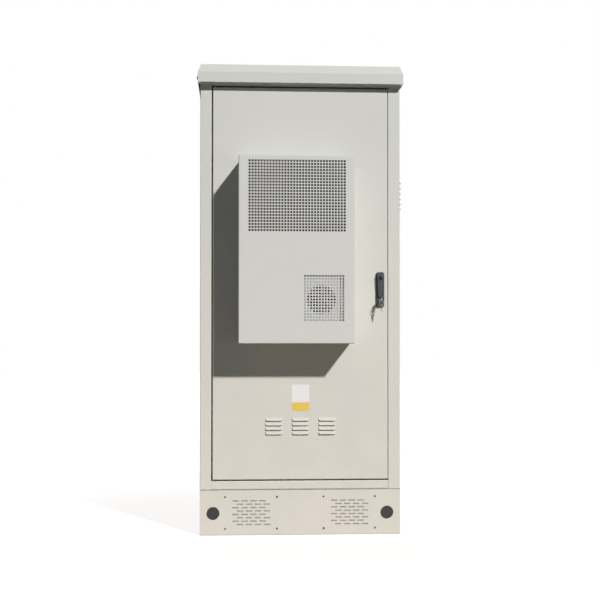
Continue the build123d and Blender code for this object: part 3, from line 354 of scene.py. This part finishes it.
def mesh_piece(name, bm, finish, body):
    """An object made from a bmesh, with its finish, that rides a body."""
    bmesh.ops.recalc_face_normals(bm, faces=bm.faces)
    mesh = bpy.data.meshes.new(name)
    bm.to_mesh(mesh)
    bm.free()
    mesh.materials.append(finish)
    piece = bpy.data.objects.new(name, mesh)
    bpy.context.scene.collection.objects.link(piece)
    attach(piece, body)
    return piece


casing_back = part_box("cooler_casing")[1].y
panel_low, panel_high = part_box("cooler_front_panel")
print("cover:", [round(v, 4) for v in panel_high - panel_low])

# %% Punch the cover
cover_bend = 4 * MM
cover_skin = 1.5 * MM
inlet_pitch_x, inlet_pitch_z = 11.44 * MM, 11.63 * MM
outlet_pitch = 11.3 * MM
inlet_hole, outlet_hole = 7.8 * MM, 7.0 * MM
inlet_columns, inlet_rows = 33, 24
outlet_columns, outlet_rows = 14, 16
inlet_centre = Vector((-22.4, 1330.6)) * MM
outlet_centre = Vector((81.7, 936.4)) * MM
inlet_x = field_lines(inlet_centre.x, inlet_pitch_x, inlet_hole, inlet_columns)
inlet_z = field_lines(inlet_centre.y, inlet_pitch_z, inlet_hole, inlet_rows)
outlet_x = field_lines(outlet_centre.x, outlet_pitch, outlet_hole, outlet_columns)
outlet_z = field_lines(outlet_centre.y, outlet_pitch, outlet_hole, outlet_rows)
flat_low = panel_low + Vector((cover_bend, 0, cover_bend))
flat_high = panel_high - Vector((cover_bend, 0, cover_bend))
front_y = panel_low.y
back_y = front_y + cover_skin
cover_x = sorted([flat_low.x, flat_high.x] + inlet_x + outlet_x)
cover_z = sorted([flat_low.z, flat_high.z] + inlet_z + outlet_z)
cover_bm = bmesh.new()
punched_grid(
    cover_bm,
    cover_x,
    cover_z,
    front_y,
    back_y,
    lambda across, along, depth: (across, depth, along),
    lambda x, z: in_field(x, z, inlet_x, inlet_z) or in_field(x, z, outlet_x, outlet_z),
)
print("holes:", inlet_columns * inlet_rows + outlet_columns * outlet_rows)

# %% [markdown]
# ### The bends and walls of the cover
# The outline's walls are one strip that goes round the rectangle: a quarter-round bend in a few steps, then straight
# back to the door. The strip has an inner skin too, so the cover is a real sheet and not a single surface.


# %% Wrap the walls
def rounded_outline(low, high, inset, radius, steps, side_x=(), side_z=()):
    """Points round a rectangle in X and Z, inset from it: arcs at its corners, and points along its sides."""
    points = []
    corners = (
        (high.x - radius, high.z - radius, 0, [(x, high.z - inset) for x in reversed(side_x)]),
        (low.x + radius, high.z - radius, 90, [(low.x + inset, z) for z in reversed(side_z)]),
        (low.x + radius, low.z + radius, 180, [(x, low.z + inset) for x in side_x]),
        (high.x - radius, low.z + radius, 270, [(high.x - inset, z) for z in side_z]),
    )
    for x, z, start, side in corners:
        for k in range(steps + 1):
            angle = math.radians(start + 90 * k / steps)
            reach = max(radius - inset, 0)
            points.append((x + reach * math.cos(angle), z + reach * math.sin(angle)))
        points.extend(side)
    return points


def loop_strip(bm, rings):
    """Join closed rings of points by quads and return the rings' vertices."""
    made = [[bm.verts.new(p) for p in ring] for ring in rings]
    for near, far in zip(made, made[1:]):
        for k in range(len(near)):
            n = (k + 1) % len(near)
            bm.faces.new([near[k], near[n], far[n], far[k]])
    return made


bend_steps = 5
weld_distance = 0.01 * MM


def cover_outline(inset):
    """The cover's outline with a point at each line of its grid, so that the bends join the flat without gaps."""
    return rounded_outline(panel_low, panel_high, inset, cover_bend, bend_steps, cover_x[1:-1], cover_z[1:-1])


cover_rings = []
for k in range(bend_steps + 1):
    turn = math.radians(90 * k / bend_steps)
    inset = cover_bend * (1 - math.sin(turn))
    depth = front_y + cover_bend * (1 - math.cos(turn))
    cover_rings.append([(x, depth, z) for x, z in cover_outline(inset)])
wall_outline = cover_outline(0)
inner_outline = cover_outline(cover_skin)
cover_rings.append([(x, casing_back, z) for x, z in wall_outline])
cover_rings.append([(x, casing_back, z) for x, z in inner_outline])
cover_rings.append([(x, back_y, z) for x, z in inner_outline])
cover_rings.append([(x, back_y, z) for x, z in cover_outline(cover_bend)])
loop_strip(cover_bm, cover_rings)
bmesh.ops.remove_doubles(cover_bm, verts=cover_bm.verts, dist=weld_distance)
cover = mesh_piece("cooler_cover", cover_bm, cooler_coat, "door")
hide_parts("cooler_casing", "cooler_front_panel")
print("cover faces:", len(cover.data.polygons))

# %% [markdown]
# ## The vent under the eave
# The roof's air leaves through a folded strip under the front overhang. Its slots are narrow and close, so the strip is
# punched in the same way as the cover, and its flange is left plain. The strip's coat is paler than the body's paint:
# painted light for the light it picks up from the ground. A black sheet on top of the slots is painted shade, which
# makes them read as dark dashes.

# %% Punch the eave vent
vent_low, vent_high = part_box("roof_eave_vent")
vent_skin = 1.5 * MM
vent_pitch = 9.0 * MM
slot_width, slot_length = 4.2 * MM, 26.0 * MM
vent_columns = int((vent_high.x - vent_low.x - vent_pitch) / vent_pitch)
vent_x = field_lines(0, vent_pitch, slot_width, vent_columns)
vent_y = field_lines((vent_low.y + vent_high.y) / 2, 0, slot_length, 1)
vent_bm = bmesh.new()
punched_grid(
    vent_bm,
    [vent_low.x] + vent_x + [vent_high.x],
    [vent_low.y] + vent_y + [vent_high.y],
    vent_low.z,
    vent_low.z + vent_skin,
    lambda across, along, depth: (across, along, depth),
    lambda x, y: in_field(x, y, vent_x, vent_y),
    rim=True,
)
flange_size = (vent_high.x - vent_low.x, vent_skin, vent_high.z - vent_low.z - vent_skin)
flange_centre = (0, vent_high.y - vent_skin / 2, vent_high.z - flange_size[2] / 2)
add_box(vent_bm, flange_size, flange_centre)
vent = mesh_piece("eave_vent_strip", vent_bm, vent_coat_painted_light, "cabinet")
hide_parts("roof_eave_vent")
print("vent slots:", vent_columns)

# %% Lay a black sheet on the slots as painted shade
shade_sheet_thickness = 0.6 * MM
shade_sheet_size = (vent_x[-1] - vent_x[0] + slot_width, slot_length + 2 * slot_width, shade_sheet_thickness)
shade_sheet_centre = (0, (vent_low.y + vent_high.y) / 2, vent_low.z + vent_skin + shade_sheet_thickness / 2)
shade_sheet_bm = bmesh.new()
add_box(shade_sheet_bm, shade_sheet_size, shade_sheet_centre)
# The black sheet is painted shade for the cavity behind the slots.
mesh_piece("slot_shade_sheet", shade_sheet_bm, slot_shade_sheet_finish, "cabinet")
print("screen:", [round(v, 4) for v in shade_sheet_size])

# %% [markdown]
# ## Plain plates on the door
# A white plate and a yellow one are stuck on the door below the cooling unit. Both stay bare. Each is a thin vinyl
# sheet with rounded corners, so a rounded outline is extruded and its rim is bevelled.


# %% Plates
plate_thickness, plate_rim = 0.8 * MM, 0.3 * MM
corner_steps = 4
door_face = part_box("front_post_left")[0].y  # The door is flush with its frame.


def plate(name, low_z, high_z, width_mm, corner_mm, finish):
    """A thin plate with rounded corners, in the middle of the door."""
    low = Vector((-width_mm * MM / 2, 0, low_z))
    high = Vector((width_mm * MM / 2, 0, high_z))
    outline = rounded_outline(low, high, 0, corner_mm * MM, corner_steps)
    bm = bmesh.new()
    foot = [bm.verts.new((x, door_face, z)) for x, z in outline]
    face = bm.faces.new(foot)
    made = bmesh.ops.extrude_face_region(bm, geom=[face])
    lifted = [v for v in made["geom"] if isinstance(v, bmesh.types.BMVert)]
    bmesh.ops.translate(bm, verts=lifted, vec=(0, -plate_thickness, 0))
    piece = mesh_piece(name, bm, finish, "door")
    rim = piece.modifiers.new("rim", "BEVEL")
    rim.width = plate_rim
    rim.segments = 2


white_vinyl = moulded("white_vinyl_film", "#DEDAD9", roughness=0.35, grain_mm=5, depth_mm=0.02)
yellow_vinyl = moulded("yellow_vinyl_film", "#DDB848", roughness=0.35, grain_mm=5, depth_mm=0.02)
plate("white_plate", low_z=0.528, high_z=0.598, width_mm=71, corner_mm=2, finish=white_vinyl)
plate("yellow_plate", low_z=0.493, high_z=0.525, width_mm=67, corner_mm=6, finish=yellow_vinyl)
print("plates on the door")

# %% [markdown]
# ## Floor, light and camera
# The object stands on a plain pale floor. A key light comes from the upper right of the front and a weak one from
# behind keeps the back readable. The background is white for the camera and in reflections only, so it adds no light
# of its own. For other rays the floor darkens away from the object, so little light comes up under the roof. Near the
# object the floor glows less and its own colour makes up the rest, so it keeps the object's shadow.


# %% Floor
def seen_or_mirrored(tree):
    """1 for rays that come from the camera, from a gloss or through glass, and 0 for rays that carry light."""
    paths = add_node(tree, "ShaderNodeLightPath").outputs
    level = paths["Is Camera Ray"]
    for kind in ("Is Glossy Ray", "Is Transmission Ray"):
        level = add_node(tree, "ShaderNodeMath", {"operation": "MAXIMUM"}, {0: level, 1: paths[kind]}).outputs[0]
    return level


floor_size = 60
near_colour, far_colour = "#90877A", "#2A2824"
near_glow, far_glow = 0.78, 1.0
fade_start, fade_end = 0.9, 2.6
bpy.ops.mesh.primitive_plane_add(size=floor_size, location=(0, 0, 0))
floor = bpy.context.object
floor.name = "floor"
floor_finish, floor_tree, floor_shader, floor_place = new_finish("matt_floor_paint", near_colour, 0.9)
far_off = add_node(
    floor_tree,
    "ShaderNodeVectorMath",
    {"operation": "LENGTH"},
    {0: floor_place},
).outputs["Value"]
fade = add_node(
    floor_tree,
    "ShaderNodeMapRange",
    inputs={"Value": far_off, "From Min": fade_start, "From Max": fade_end},
).outputs["Result"]
floor_colour = add_node(
    floor_tree,
    "ShaderNodeMix",
    {"data_type": "RGBA"},
    {"Factor": fade, "A": linear(near_colour), "B": linear(far_colour)},
).outputs["Result"]
floor_tree.links.new(floor_colour, floor_shader.inputs["Base Color"])
paleness = add_node(
    floor_tree,
    "ShaderNodeMapRange",
    inputs={"Value": fade, "To Min": near_glow, "To Max": far_glow},
).outputs["Result"]
glow = add_node(
    floor_tree,
    "ShaderNodeMath",
    {"operation": "MULTIPLY"},
    {0: seen_or_mirrored(floor_tree), 1: paleness},
).outputs[0]
floor_shader.inputs["Emission Color"].default_value = (1, 1, 1, 1)
floor_tree.links.new(glow, floor_shader.inputs["Emission Strength"])
floor.data.materials.append(floor_finish)
print("floor ready")

# %% Backdrop
fill_level, fill_colour = 0.07, "#9CD2F2"
world = bpy.data.worlds.new("studio")
bpy.context.scene.world = world
world.use_nodes = True
sky_tree = world.node_tree
background = sky_tree.nodes["Background"]
sky_seen = seen_or_mirrored(sky_tree)
sky_level = add_node(
    sky_tree,
    "ShaderNodeMapRange",
    inputs={"Value": sky_seen, "To Min": fill_level, "To Max": 1.0},
).outputs["Result"]
sky_colour = add_node(
    sky_tree,
    "ShaderNodeMix",
    {"data_type": "RGBA"},
    {"Factor": sky_seen, "A": linear(fill_colour), "B": (1, 1, 1, 1)},
).outputs["Result"]
sky_tree.links.new(sky_colour, background.inputs["Color"])
sky_tree.links.new(sky_level, background.inputs["Strength"])
print("backdrop ready")


# %% Lights
def distant_light(name, travel, strength, spread_degrees):
    """A far light that shines along the travel direction."""
    data = bpy.data.lights.new(name, "SUN")
    data.energy = strength
    data.angle = math.radians(spread_degrees)
    lamp = bpy.data.objects.new(name, data)
    lamp.rotation_euler = Vector(travel).to_track_quat("-Z", "Y").to_euler()
    bpy.context.scene.collection.objects.link(lamp)


distant_light("key_light", travel=(-0.52, 1.0, -0.68), strength=3.9, spread_degrees=2.5)
distant_light("back_light", travel=(0.1, -1.0, -0.55), strength=1.1, spread_degrees=20.0)
bpy.context.scene.view_settings.view_transform = "Standard"
print("lights ready")

# %% [markdown]
# ### Camera
# The photograph was taken from a little to the left of the door, at about waist height and from five metres away. The
# uprights stay nearly parallel, so the camera tilts by one degree only, and its frame is shifted up and sideways to
# make up the rest.

# %% Camera
image_size = 600
focal_pixels = 1254.5
sensor_mm = 36
camera_place = (-0.250, -5.408, 0.752)
axis_pixel = Vector((320.2, 322.9))
tilt_up = math.radians(1.054)
turn_right = 0.0656
camera_data = bpy.data.cameras.new("camera")
camera_data.sensor_width = sensor_mm
camera_data.lens = focal_pixels / image_size * sensor_mm
camera_data.shift_x = (image_size / 2 - axis_pixel.x) / image_size
camera_data.shift_y = (axis_pixel.y - image_size / 2) / image_size
camera = bpy.data.objects.new("camera", camera_data)
camera.location = camera_place
camera.rotation_euler = (math.radians(90) + tilt_up, 0, -turn_right)
bpy.context.scene.collection.objects.link(camera)
bpy.context.scene.camera = camera
print("lens:", round(camera_data.lens, 1), "mm")
